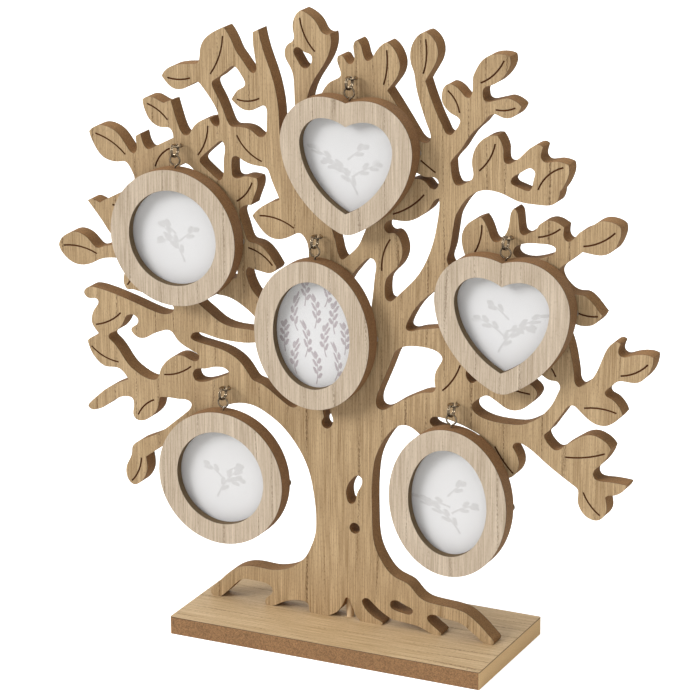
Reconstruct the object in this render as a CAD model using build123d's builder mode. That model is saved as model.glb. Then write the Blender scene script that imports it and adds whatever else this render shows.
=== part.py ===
from build123d import *
import os

# A photo tree: a fretted board shaped like a tree stands on a flat foot, and six small
# picture frames hang from screw eyes in its branches.
# Millimetres. The origin is the centre of the foot's underside, X runs to the right,
# Y away from the viewer and Z up.

# Foot
foot_width = 220.0
foot_depth = 102.0
foot_board_thickness = 11.4
foot_corner_radius = 1.0

# Tree board
layout_width = 420.0
layout_height = 403.0
tree_board_thickness = 10.8
veneer_thickness = 0.6
vein_width = 1.1
knot_hole_diameter = 7.4
knot_hole_share = (0.6, 15.9)

# One dowel and two screws hold the tree on its foot
dowel_diameter = 5.0
dowel_length = 30.0
dowel_depth_in_foot = 8.0
dowel_end_chamfer = 0.6
dowel_share = -0.86
base_screw_diameter = 3.0
base_screw_length = 30.0
base_screw_head_diameter = 6.0
base_screw_head_height = 1.8
base_screw_shares = (-5.7, 1.25)
base_screw_slot_width = 1.0
base_screw_slot_length = 3.8
base_screw_slot_depth = 1.0

# Picture frames
frame_thickness = 12.0
frame_rim = 13.5
rebate_ledge = 4.0
glazing_thickness = 2.0
glazing_play = 0.05
card_thickness = 0.4
backing_thickness = 4.0
rebate_clearance = 0.4
round_window_diameter = 63.0
oval_window_width = 54.0
oval_window_height = 71.0
heart_window_width = 63.6
heart_window_height = 60.0

# Tongue on each backing board, opposite its turn button
tongue_width = 12.0
tongue_reach = 2.0
tongue_thickness = 1.6
tongue_clearance = 0.3

# Screw eyes and split rings
eye_wire = 1.2
eye_radius = 3.4
tree_eye_stem = 1.4
frame_eye_stem = 2.2
eye_shank_in_tree = 7.0
eye_shank_in_frame = 7.0
eye_opening_degrees = 40.0
ring_wire = 0.9
ring_radius = 3.9
ring_pitch = 1.05
ring_turns = 1.75
ring_play = 0.15
eye_play = 0.45

# Turn buttons on the backs
button_length = 15.0
button_width = 5.0
button_thickness = 0.6
button_overhang = 0.7
button_standoff = 0.1
button_screw_diameter = 1.8
button_hole_clearance = 0.1
screw_head_diameter = 4.0
screw_head_height = 0.8
screw_head_gap = 0.05
screw_head_bevel = 0.25
screw_slot_width = 0.7
screw_slot_depth = 0.4
button_screw_length = 5.0

overrun = 1.0

# Sizes worked out from the ones above
foot_height = foot_board_thickness + veneer_thickness
tree_thickness = tree_board_thickness + 2 * veneer_thickness
tree_front = -tree_thickness / 2
tree_back = tree_thickness / 2
frame_middle = tree_front - tree_eye_stem - 2 * eye_radius
frame_back = frame_middle + frame_thickness / 2
frame_front = frame_middle - frame_thickness / 2
board_front = frame_front + veneer_thickness
rebate_depth = glazing_thickness + glazing_play + card_thickness + backing_thickness
rebate_floor = frame_back - rebate_depth
glazing_back = rebate_floor + glazing_thickness
card_front = glazing_back + glazing_play
backing_front = card_front + card_thickness
backing_middle = backing_front + backing_thickness / 2

# How the hangers stack up, from the frame's top edge to the eye in the tree
frame_eye_rise = frame_eye_stem + eye_radius
ring_in_eye = eye_radius - eye_wire / 2 - ring_wire / 2 - eye_play
eye_in_ring = ring_radius - ring_wire / 2 - eye_wire / 2 - ring_play
ring_rise = frame_eye_rise + ring_in_eye + ring_radius
tree_eye_rise = ring_rise + eye_in_ring

# Where a turn button's screw stands in the frame's rim, and how far the button reaches
band_middle = (frame_rim - rebate_ledge) / 2
button_outer_reach = band_middle + button_overhang
button_inner_reach = button_length - button_outer_reach

# The tree's outline. Each row is one stretch between two corners, and its points are shares
# in hundredths of the layout's width, from the middle, and of its height, from the foot.
# A stretch starts where the row before it ends.
outline_shares = [
    # left root, trunk and the low bough
    [(-24.45, 0.2), (-24.6, 0.7), (-23.8, 1.9), (-22.2, 3.65), (-20.3, 5.3), (-18.5, 6.1), (-16.4, 6.35),
     (-14.0, 6.25), (-12.0, 6.6), (-10.3, 7.3), (-8.9, 8.4), (-7.7, 9.8), (-6.9, 11.5),
     (-6.2, 13.6), (-6.0, 15.5), (-6.1, 18.5), (-6.45, 21.2), (-7.1, 24.2), (-8.3, 27.0),
     (-9.9, 29.4), (-12.0, 31.6), (-14.2, 33.1), (-16.5, 34.1), (-19.0, 34.2), (-21.2, 33.5),
     (-23.5, 32.0), (-26.5, 29.7), (-29.5, 27.2), (-32.5, 24.9), (-34.6, 23.3), (-35.8, 22.4)],
    # lowest leaf and the underside of the low bough
    [(-35.6, 21.2), (-35.65, 19.9), (-36.2, 18.6), (-37.2, 17.5), (-38.1, 17.2), (-38.9, 17.7),
     (-39.4, 19.0), (-39.2, 20.6), (-38.6, 21.8), (-38.3, 22.8), (-38.2, 23.7), (-37.5, 24.6),
     (-36.2, 25.4), (-34.3, 26.3), (-32.3, 27.7), (-30.3, 29.5), (-28.6, 31.0), (-27.7, 32.0),
     (-27.5, 32.8), (-28.0, 33.25), (-29.5, 33.3), (-31.5, 33.3), (-33.0, 33.15)],
    # small leaf and the long finger beside it
    [(-33.3, 32.0), (-33.6, 30.9), (-34.4, 29.8), (-35.5, 28.9), (-36.5, 28.55), (-37.4, 28.7),
     (-37.85, 29.3), (-37.8, 30.5), (-37.75, 31.5), (-38.0, 32.2), (-38.7, 32.4), (-40.1, 32.1),
     (-41.8, 31.0), (-43.2, 29.9), (-44.5, 29.3), (-45.4, 29.2), (-46.0, 29.7), (-45.7, 30.3),
     (-44.6, 31.4), (-43.0, 32.9), (-41.2, 34.1), (-39.6, 34.9), (-38.6, 35.35)],
    [(-39.2, 36.2), (-40.2, 37.0), (-41.4, 37.1), (-42.7, 37.05), (-43.9, 37.7), (-44.9, 38.8),
     (-45.5, 40.0), (-45.8, 41.0)],
    [(-45.2, 41.6), (-44.3, 42.1), (-43.8, 42.6)],
    # left bough and the leaf that points furthest left
    [(-44.4, 43.3), (-44.9, 44.2), (-44.9, 45.3), (-44.4, 46.6), (-43.8, 47.5), (-43.7, 48.1),
     (-44.1, 48.45), (-45.0, 48.35), (-45.8, 48.55), (-46.2, 49.2), (-45.9, 49.9), (-45.1, 50.3),
     (-43.8, 50.3), (-42.0, 50.0), (-40.0, 49.5), (-37.5, 48.8), (-35.0, 48.0), (-33.3, 47.55),
     (-32.1, 47.4), (-31.1, 47.6), (-30.4, 48.1), (-30.3, 48.8), (-30.9, 49.3), (-32.5, 49.8),
     (-34.5, 50.3), (-36.4, 50.7), (-37.6, 50.85), (-38.4, 50.8), (-38.9, 51.4), (-39.05, 52.4),
     (-38.8, 53.6), (-38.4, 54.4), (-38.2, 55.1), (-38.7, 55.7), (-39.8, 55.85), (-41.5, 55.7),
     (-43.2, 55.2), (-44.6, 54.4), (-46.2, 53.9), (-47.8, 54.0), (-49.2, 54.8), (-50.1, 55.8),
     (-50.5, 56.8)],
    [(-50.1, 57.8), (-49.0, 58.8), (-47.8, 59.3), (-46.6, 59.2), (-45.4, 58.6), (-44.4, 57.6),
     (-43.6, 57.1), (-42.6, 57.4), (-41.4, 57.8), (-40.6, 58.2), (-40.5, 58.9), (-41.2, 59.9),
     (-42.3, 61.4), (-43.6, 63.1), (-45.1, 64.9)],
    [(-44.3, 65.2), (-43.5, 65.0), (-42.9, 64.75)],
    # upper left boughs
    [(-42.3, 65.2), (-41.2, 65.8), (-39.7, 66.6), (-38.2, 67.4), (-37.1, 68.4), (-36.7, 69.5),
     (-37.0, 70.5), (-37.5, 71.4), (-38.2, 72.1), (-39.4, 72.0), (-40.8, 72.0), (-42.0, 72.4),
     (-43.0, 73.3), (-43.8, 74.6), (-44.3, 75.7), (-44.5, 76.5)],
    [(-43.6, 77.3), (-42.3, 77.7), (-41.0, 77.5), (-39.8, 76.9), (-38.8, 75.9), (-38.1, 74.9),
     (-37.5, 74.1), (-36.9, 73.7), (-36.4, 73.9), (-36.15, 74.7), (-36.3, 75.8), (-36.3, 76.6)],
    [(-35.5, 77.1)],
    [(-35.3, 76.2), (-34.9, 75.2), (-34.3, 74.65), (-33.7, 74.75), (-33.0, 75.2), (-31.8, 75.9),
     (-30.6, 76.5), (-29.8, 76.9)],
    [(-29.9, 77.8), (-30.4, 78.5), (-31.5, 78.5), (-32.7, 78.7), (-33.8, 79.5), (-34.5, 80.7),
     (-34.9, 81.9), (-35.0, 82.7)],
    [(-34.2, 83.2), (-33.1, 83.2), (-32.1, 82.75), (-31.3, 82.5)],
    [(-30.7, 82.8), (-30.1, 83.0)],
    [(-29.8, 82.0), (-29.4, 80.6), (-28.9, 79.1), (-28.4, 78.1), (-27.7, 77.6), (-27.0, 77.9),
     (-26.6, 78.6), (-25.9, 79.6), (-24.8, 80.4), (-23.5, 80.8)],
    [(-23.2, 80.2), (-22.7, 79.75), (-22.1, 79.7), (-21.8, 80.2), (-21.9, 81.2), (-22.2, 82.2),
     (-22.9, 83.5), (-23.9, 84.9), (-24.8, 86.0), (-25.4, 86.5), (-26.2, 86.2), (-27.2, 85.5),
     (-28.4, 85.0), (-29.7, 85.1), (-30.7, 85.8), (-31.6, 86.9)],
    [(-30.9, 87.9), (-29.9, 88.6), (-28.6, 89.0), (-27.3, 89.2), (-26.2, 89.3), (-25.4, 89.5)],
    [(-25.1, 90.2), (-25.0, 91.3), (-24.7, 92.6), (-24.0, 93.7), (-22.8, 94.7), (-21.8, 95.3),
     (-20.9, 95.7)],
    [(-20.2, 94.8), (-19.5, 93.5), (-18.9, 92.2), (-18.0, 91.0), (-17.1, 89.8), (-16.5, 89.1),
     (-15.9, 88.9), (-15.5, 89.3), (-15.5, 90.3), (-15.7, 91.7), (-15.95, 93.3), (-16.0, 94.8),
     (-16.0, 95.4)],
    [(-15.1, 95.9)],
    # the tall plain bough, the gap behind the top frame and the topmost leaf
    [(-14.7, 94.1), (-14.1, 92.1), (-13.3, 90.0), (-12.6, 87.8), (-12.1, 85.6), (-11.8, 83.2),
     (-11.7, 80.5), (-11.4, 78.0), (-10.6, 76.6), (-9.7, 77.2), (-9.3, 79.0), (-9.2, 82.0),
     (-9.1, 85.0), (-9.2, 87.5), (-9.4, 89.5), (-10.0, 90.8), (-10.6, 91.9), (-10.7, 93.0),
     (-10.3, 93.9), (-9.6, 94.4)],
    [(-9.15, 95.3), (-9.35, 96.6), (-9.2, 98.0), (-8.7, 99.0), (-8.0, 99.6)],
    [(-7.2, 99.3), (-6.1, 98.6), (-5.2, 97.5), (-4.6, 96.5), (-3.9, 96.15), (-3.2, 96.35)],
    [(-3.05, 95.2), (-3.3, 93.6), (-4.0, 91.9), (-4.9, 90.4), (-5.8, 89.0), (-6.6, 87.3),
     (-7.2, 85.0), (-7.5, 82.0), (-7.5, 79.0), (-7.1, 75.5), (-6.2, 72.0), (-4.9, 69.0),
     (-3.7, 66.6), (-2.8, 64.5), (-2.3, 62.4), (-1.9, 61.1), (-1.4, 60.5), (-0.8, 60.8),
     (-0.3, 61.3), (0.6, 62.2), (1.5, 63.4), (2.1, 64.8), (2.9, 66.6), (4.2, 68.6), (5.8, 70.6),
     (7.4, 72.5), (8.9, 74.1), (10.4, 74.9), (11.7, 74.9), (12.6, 74.3), (13.2, 73.7),
     (13.9, 73.7), (14.35, 74.3), (14.3, 75.1), (13.6, 75.55), (12.6, 75.45), (11.2, 75.8),
     (9.3, 76.5), (7.0, 77.7), (4.0, 79.6), (1.0, 81.2), (-2.0, 82.3), (-4.0, 83.4),
     (-4.9, 84.9), (-4.8, 86.3), (-4.1, 87.8), (-3.2, 88.8), (-2.1, 89.4), (-1.5, 90.0),
     (-1.6, 90.9), (-1.95, 91.8), (-2.05, 92.6)],
    [(-1.6, 93.15), (-1.1, 93.0), (-0.7, 92.4), (-0.2, 91.95), (0.4, 92.05), (0.75, 92.7),
     (0.65, 94.0), (0.65, 95.2), (1.15, 95.8)],
    [(1.7, 95.2), (2.05, 94.2), (2.3, 93.3), (2.8, 92.7), (3.4, 92.9), (3.9, 93.7), (4.6, 94.8),
     (5.4, 95.6), (6.0, 95.95)],
    [(6.9, 95.3), (7.7, 94.1), (8.1, 92.7), (7.9, 91.2), (7.2, 89.9), (6.1, 88.4)],
    # upper right boughs
    [(6.9, 87.3), (8.0, 85.7), (9.2, 83.9), (10.3, 82.2), (11.2, 81.1), (12.2, 80.8),
     (12.9, 81.1), (13.1, 82.0), (12.6, 83.5), (12.0, 85.1), (11.4, 86.9), (10.9, 88.7),
     (10.6, 90.3), (10.4, 91.6), (9.95, 92.8), (9.75, 94.2), (9.95, 95.6), (10.7, 97.1),
     (11.6, 97.9), (12.3, 98.1)],
    [(13.2, 97.5), (13.95, 96.4), (14.2, 95.2), (14.0, 93.9), (13.3, 92.4), (12.2, 90.5)],
    [(12.7, 89.0), (13.4, 87.2), (14.2, 85.3), (15.1, 83.5), (15.7, 82.6), (16.3, 82.5),
     (16.9, 83.1), (17.5, 84.0), (17.8, 84.9)],
    [(17.4, 85.4), (16.5, 85.8), (15.6, 86.5), (14.95, 87.5), (14.85, 88.7), (15.15, 89.8),
     (15.8, 90.4), (16.6, 90.35), (17.4, 89.9), (18.1, 89.2), (18.7, 88.65), (19.3, 88.65),
     (19.65, 89.3), (19.75, 90.8), (19.85, 92.2)],
    [(20.3, 93.2), (21.1, 94.5), (22.2, 95.4), (23.6, 95.8), (24.8, 95.8), (25.5, 95.6)],
    [(25.65, 94.6), (25.2, 93.3), (24.4, 92.2), (23.4, 91.3), (22.5, 90.85), (21.8, 90.6),
     (21.4, 90.1), (21.35, 89.2), (21.6, 88.5), (22.2, 88.3), (23.0, 88.5), (24.0, 88.8),
     (25.2, 89.15), (26.3, 88.9), (27.0, 88.5), (27.4, 88.1)],
    [(27.0, 87.2), (26.2, 86.4), (25.2, 86.05), (24.2, 86.2), (23.3, 86.5), (22.6, 86.3),
     (21.4, 84.9), (20.1, 83.6), (18.9, 82.0), (17.8, 80.2), (16.8, 79.0), (16.3, 78.2)],
    [(16.4, 76.8), (16.7, 75.5), (17.2, 74.75), (17.9, 74.75), (18.9, 75.3), (19.7, 75.9),
     (19.95, 76.7), (19.75, 78.0), (19.8, 79.5), (20.3, 81.0), (21.2, 82.2), (22.4, 83.0),
     (23.7, 83.2)],
    [(24.3, 82.3), (24.7, 81.0), (24.7, 79.9), (25.0, 79.1), (25.6, 79.0), (26.3, 79.4),
     (27.2, 80.1), (28.2, 81.2), (29.2, 82.1), (30.2, 82.5), (30.85, 82.2)],
    [(30.6, 81.3), (30.6, 80.5), (31.1, 79.95), (31.9, 79.95), (33.0, 80.2), (34.0, 80.15),
     (34.85, 79.9)],
    [(35.0, 78.9), (34.7, 77.6), (34.2, 76.5), (33.6, 75.6)],
    [(33.5, 74.8), (33.1, 73.9), (32.3, 73.35), (30.5, 73.15), (28.5, 73.15), (26.8, 73.4),
     (25.0, 74.1), (23.2, 74.5), (21.5, 74.4), (20.0, 73.7), (18.8, 72.6), (17.8, 71.1),
     (17.1, 69.6), (16.85, 68.2), (16.6, 66.5), (16.4, 65.0), (16.0, 63.6), (15.8, 62.7),
     (16.1, 61.9), (16.9, 61.2), (18.0, 61.0), (18.9, 61.6), (19.1, 62.6), (18.7, 63.8),
     (18.3, 65.1), (18.15, 66.5), (18.5, 67.9), (19.3, 69.0), (20.3, 69.7), (21.3, 70.1)],
    [(21.9, 69.3), (22.4, 68.2), (22.8, 67.1), (23.3, 66.5), (24.0, 66.5), (24.7, 67.2),
     (25.3, 68.2), (25.75, 69.8), (25.95, 71.3), (26.4, 72.1)],
    [(26.9, 71.7), (27.15, 70.5), (27.3, 69.2), (27.6, 68.3), (28.2, 68.1), (29.0, 68.6),
     (29.8, 68.95), (30.3, 69.8), (31.2, 70.6), (32.4, 70.9), (33.5, 70.6), (34.35, 70.1)],
    # right boughs
    [(34.25, 69.2), (34.4, 68.4), (35.0, 67.95), (35.6, 68.2), (36.2, 68.9), (36.9, 69.7),
     (38.0, 70.3), (39.1, 71.2), (40.3, 71.8), (41.6, 71.8), (42.6, 71.5), (43.1, 71.1)],
    [(43.2, 70.2), (42.9, 69.0), (42.2, 67.6), (41.3, 66.8), (40.0, 66.4), (38.6, 66.45),
     (37.3, 66.6)],
    [(36.3, 65.8), (35.1, 64.7), (33.9, 63.7), (33.4, 62.8), (33.7, 61.6), (34.5, 60.6),
     (35.4, 59.95), (36.3, 59.75), (37.4, 59.8), (38.4, 59.3), (39.4, 58.3), (40.5, 57.0)],
    [(40.0, 56.1), (39.2, 55.35), (38.2, 55.0), (37.0, 54.95), (35.8, 55.2), (34.9, 55.0),
     (34.6, 54.0), (35.0, 52.6), (35.6, 50.8), (36.0, 48.8), (36.3, 46.8), (36.5, 45.6),
     (37.0, 45.1), (37.8, 45.5), (38.7, 46.2), (39.6, 47.4), (40.3, 49.0), (40.8, 50.4),
     (41.3, 51.6), (41.9, 52.5), (42.7, 53.1), (43.5, 52.9)],
    [(43.2, 52.1), (43.2, 51.3), (43.8, 50.85), (44.6, 51.0), (45.6, 51.4), (46.8, 51.65),
     (47.9, 51.65), (48.6, 51.4)],
    [(48.5, 50.3), (48.1, 49.1), (47.4, 48.0), (46.5, 47.2), (45.4, 46.95), (44.2, 47.0),
     (43.2, 46.85), (42.4, 46.2), (41.6, 45.4), (41.2, 44.8), (41.4, 44.3), (42.2, 43.9),
     (43.1, 43.2), (43.7, 42.4), (44.0, 41.6)],
    [(43.3, 40.7), (42.4, 39.9), (41.3, 39.4), (40.2, 39.4), (39.1, 39.8), (38.0, 40.6),
     (37.0, 41.5), (36.3, 41.95), (35.5, 41.7), (34.6, 40.5), (33.6, 39.0), (32.9, 37.9),
     (32.3, 37.1), (31.75, 36.5), (31.9, 35.8), (32.7, 34.8), (33.5, 34.3), (34.2, 34.45),
     (34.9, 35.1), (35.9, 35.9), (37.0, 36.7), (38.2, 37.4), (39.5, 37.6), (40.8, 37.2),
     (41.7, 36.6), (42.3, 35.8)],
    [(41.9, 34.7), (41.2, 33.5), (40.4, 32.6), (39.8, 32.0), (39.6, 31.3), (39.9, 30.6),
     (40.6, 30.35), (42.0, 30.4), (43.6, 30.4), (44.95, 30.3)],
    # lower right bough, trunk and right root
    [(44.5, 29.4), (43.7, 28.7), (42.8, 28.3), (42.1, 28.2), (41.6, 27.8)],
    [(41.75, 26.9), (41.85, 25.8), (41.4, 24.6), (40.6, 23.9), (39.6, 23.8), (38.6, 24.2),
     (37.7, 25.2), (37.25, 26.5), (37.3, 27.7), (37.2, 28.4), (36.5, 29.0), (35.2, 29.8),
     (33.8, 30.7), (32.5, 31.6), (31.2, 32.6), (29.9, 33.6), (28.7, 34.3), (27.7, 34.6),
     (26.9, 34.3), (26.7, 33.7)],
    [(27.2, 32.9), (27.65, 31.8), (27.65, 30.5), (27.1, 29.3), (26.3, 28.6), (25.3, 28.6),
     (24.0, 29.5), (22.4, 30.8), (20.5, 31.9), (18.0, 32.4), (15.5, 32.3), (13.0, 32.7),
     (11.4, 33.6), (10.4, 34.3), (9.3, 34.65), (8.3, 34.5), (7.3, 33.9), (6.3, 32.8),
     (5.4, 31.4), (4.6, 29.8), (4.0, 28.0), (3.65, 25.5), (3.5, 22.0), (3.55, 18.5),
     (3.65, 15.5), (3.95, 13.7), (4.5, 12.2), (5.3, 10.8), (6.2, 9.6), (7.3, 8.75), (8.5, 8.3),
     (9.7, 7.8), (10.6, 6.9), (11.5, 6.0), (12.6, 5.45), (14.0, 5.25), (16.0, 5.15),
     (18.1, 4.95), (19.4, 4.55), (20.4, 3.95), (21.3, 3.25), (22.1, 2.55), (22.9, 1.75),
     (23.5, 1.15), (23.95, 0.6), (23.95, 0.2), (23.6, 0)],
    # toes and the arches between them, from right to left
    [(22.4, 0)],
    [(21.85, 0.3), (21.2, 0.9), (20.3, 1.5), (19.4, 2.2), (18.3, 2.75), (17.0, 2.95), (15.8, 3.05),
     (14.9, 3.25), (14.1, 3.35), (13.3, 3.2), (12.85, 2.7), (13.05, 2.1), (13.6, 1.6),
     (14.35, 1.05), (15.0, 0.6), (15.25, 0.3), (14.95, 0)],
    [(13.6, 0)],
    [(12.6, 0.45), (11.5, 0.85), (10.0, 1.05), (8.3, 1.2), (6.9, 1.35), (6.0, 1.8), (5.1, 2.35),
     (4.2, 3.05), (3.5, 3.7), (2.9, 4.15), (2.3, 4.15), (1.85, 3.7), (1.95, 3.0), (2.5, 2.2),
     (3.3, 1.5), (4.2, 0.95), (5.0, 0.6), (5.35, 0.3), (5.0, 0)],
    [(1.6, 0)],
    [(0.95, 0.6), (0.5, 1.4), (0.2, 2.2), (-0.1, 3.0), (-0.45, 3.6), (-0.85, 3.7), (-1.2, 3.1),
     (-1.65, 2.1), (-2.25, 1.2), (-3.0, 0.55), (-4.0, 0)],
    [(-6.8, 0)],
    [(-7.25, 0.2), (-7.35, 0.6), (-7.4, 1.1), (-7.7, 1.6), (-8.4, 1.8), (-9.5, 1.75), (-10.7, 1.45),
     (-11.7, 1.05), (-12.5, 0.6), (-13.2, 0.2), (-13.9, 0)],
    [(-14.4, 0)],
    [(-14.95, 0.25), (-14.95, 0.7), (-14.65, 1.3), (-14.1, 1.8), (-13.7, 2.35), (-13.7, 2.95),
     (-14.2, 3.5), (-15.1, 3.8), (-16.2, 3.85), (-17.4, 3.9), (-18.5, 3.85), (-19.2, 3.6),
     (-20.0, 2.95), (-20.75, 2.15), (-21.5, 1.3), (-22.2, 0.6), (-22.7, 0.15), (-23.2, 0)],
    [(-23.9, 0)],
]

# Openings between the boughs, in the same shares. A row that ends in a leaf's tip has its
# corner there.
pointed_opening_shares = [
    # around the two leaves left of the middle
    [[(-15.6, 66.8), (-14.5, 67.7), (-13.3, 68.35), (-12.3, 68.65), (-11.8, 68.95)],
     [(-12.3, 70.2), (-12.9, 71.5), (-13.4, 72.9), (-13.9, 73.8), (-14.8, 74.0), (-16.2, 74.1),
      (-17.4, 74.4), (-18.2, 74.8), (-19.0, 75.2), (-19.6, 75.0), (-19.85, 74.2),
      (-19.85, 72.8), (-19.6, 71.8), (-18.9, 71.6), (-17.8, 72.0), (-16.6, 72.1),
      (-15.6, 71.95)],
     [(-15.5, 70.8), (-15.9, 69.5), (-16.35, 68.3), (-16.6, 67.5)],
     [(-17.4, 67.4), (-18.3, 66.9), (-18.7, 66.1), (-18.5, 65.0), (-18.0, 63.5), (-17.6, 62.2),
      (-17.1, 61.5), (-16.3, 61.35), (-15.3, 61.1), (-14.3, 60.4), (-13.3, 59.2),
      (-12.4, 57.8)],
     [(-12.9, 57.0), (-13.8, 56.65), (-15.0, 56.8), (-16.2, 57.0), (-17.2, 57.2),
      (-17.6, 56.6), (-17.5, 55.5), (-17.1, 54.4), (-16.4, 53.2), (-15.5, 52.3),
      (-14.2, 51.3), (-12.3, 50.8), (-10.2, 51.4), (-8.6, 53.2), (-7.6, 55.6), (-7.1, 58.2),
      (-6.95, 60.5), (-7.1, 62.2), (-7.7, 63.4), (-8.4, 63.9), (-9.5, 63.5), (-10.8, 62.8),
      (-12.2, 62.45), (-13.6, 62.7), (-14.8, 63.6), (-15.7, 64.7), (-16.45, 65.8)]],
    # around the leaf on the tall bough
    [[(-19.2, 85.2), (-18.5, 86.0), (-17.8, 86.4), (-17.4, 86.9), (-17.5, 87.5), (-18.1, 88.5),
      (-18.8, 89.4), (-19.4, 89.7), (-20.0, 89.3), (-21.0, 88.4), (-22.2, 87.4),
      (-23.0, 86.7), (-22.9, 86.0), (-22.2, 84.7), (-21.5, 83.3), (-20.9, 81.8),
      (-20.4, 80.6), (-19.9, 80.0), (-18.8, 79.95), (-17.4, 79.95), (-16.4, 79.6),
      (-15.6, 79.0), (-14.9, 78.7), (-14.2, 79.0), (-13.85, 79.9), (-13.8, 81.3),
      (-13.75, 82.8), (-14.1, 83.8), (-14.9, 83.7), (-15.8, 83.1), (-16.8, 82.8),
      (-17.8, 82.9), (-18.7, 83.4), (-19.75, 84.3)]],
    # right of the leaf that rises from the middle
    [[(13.8, 71.9), (13.1, 70.7), (12.0, 69.5), (10.8, 68.6), (9.4, 68.05), (8.0, 67.95),
      (6.9, 67.95), (6.1, 67.6), (5.6, 66.9), (5.75, 66.1), (6.4, 65.75), (7.0, 65.9),
      (7.7, 65.6), (8.3, 64.6), (8.6, 63.3), (8.4, 61.8), (7.7, 60.4), (6.7, 59.3),
      (5.95, 58.3), (5.7, 57.1), (5.7, 55.8), (6.0, 54.9), (6.6, 54.7), (7.3, 55.2),
      (8.5, 56.5), (9.8, 57.9), (11.1, 59.5), (12.2, 61.4), (13.1, 63.6), (13.8, 66.0),
      (14.25, 68.5), (14.55, 70.8), (14.5, 72.3)]],
    # between the trunk and the lower right bough
    [[(13.6, 40.8), (12.5, 40.6), (11.2, 40.15), (9.8, 39.4), (8.4, 38.6), (7.0, 37.6),
      (6.0, 36.9), (5.2, 36.65), (4.5, 36.9), (4.2, 37.8), (4.4, 39.0), (4.9, 40.3),
      (5.6, 42.0), (6.3, 43.8), (7.0, 45.7), (7.6, 46.8), (8.6, 47.5), (10.2, 47.9),
      (12.0, 48.0), (13.6, 47.8), (14.7, 47.3), (15.15, 46.6), (14.8, 45.6), (14.2, 44.5),
      (13.9, 43.2), (14.1, 41.5)]],
    # crescent under the right-hand frame
    [[(30.0, 41.9), (29.1, 40.9), (28.0, 40.1), (26.8, 39.75), (25.5, 39.95), (24.4, 40.6),
      (23.4, 41.2), (22.5, 41.55), (21.6, 41.2), (20.7, 40.5), (20.1, 39.8), (20.1, 39.0),
      (20.9, 38.2), (22.3, 37.65), (24.2, 37.4), (26.2, 37.4), (28.2, 37.65), (29.6, 38.3),
      (30.9, 39.2), (32.1, 40.5), (33.1, 42.0), (33.8, 43.6), (34.1, 44.8), (33.7, 45.4),
      (32.7, 45.5), (31.8, 45.8), (31.0, 46.3), (29.8, 46.4), (28.9, 45.7), (29.0, 44.8),
      (29.7, 44.2), (30.3, 43.6), (30.5, 42.9)]],
]
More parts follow.
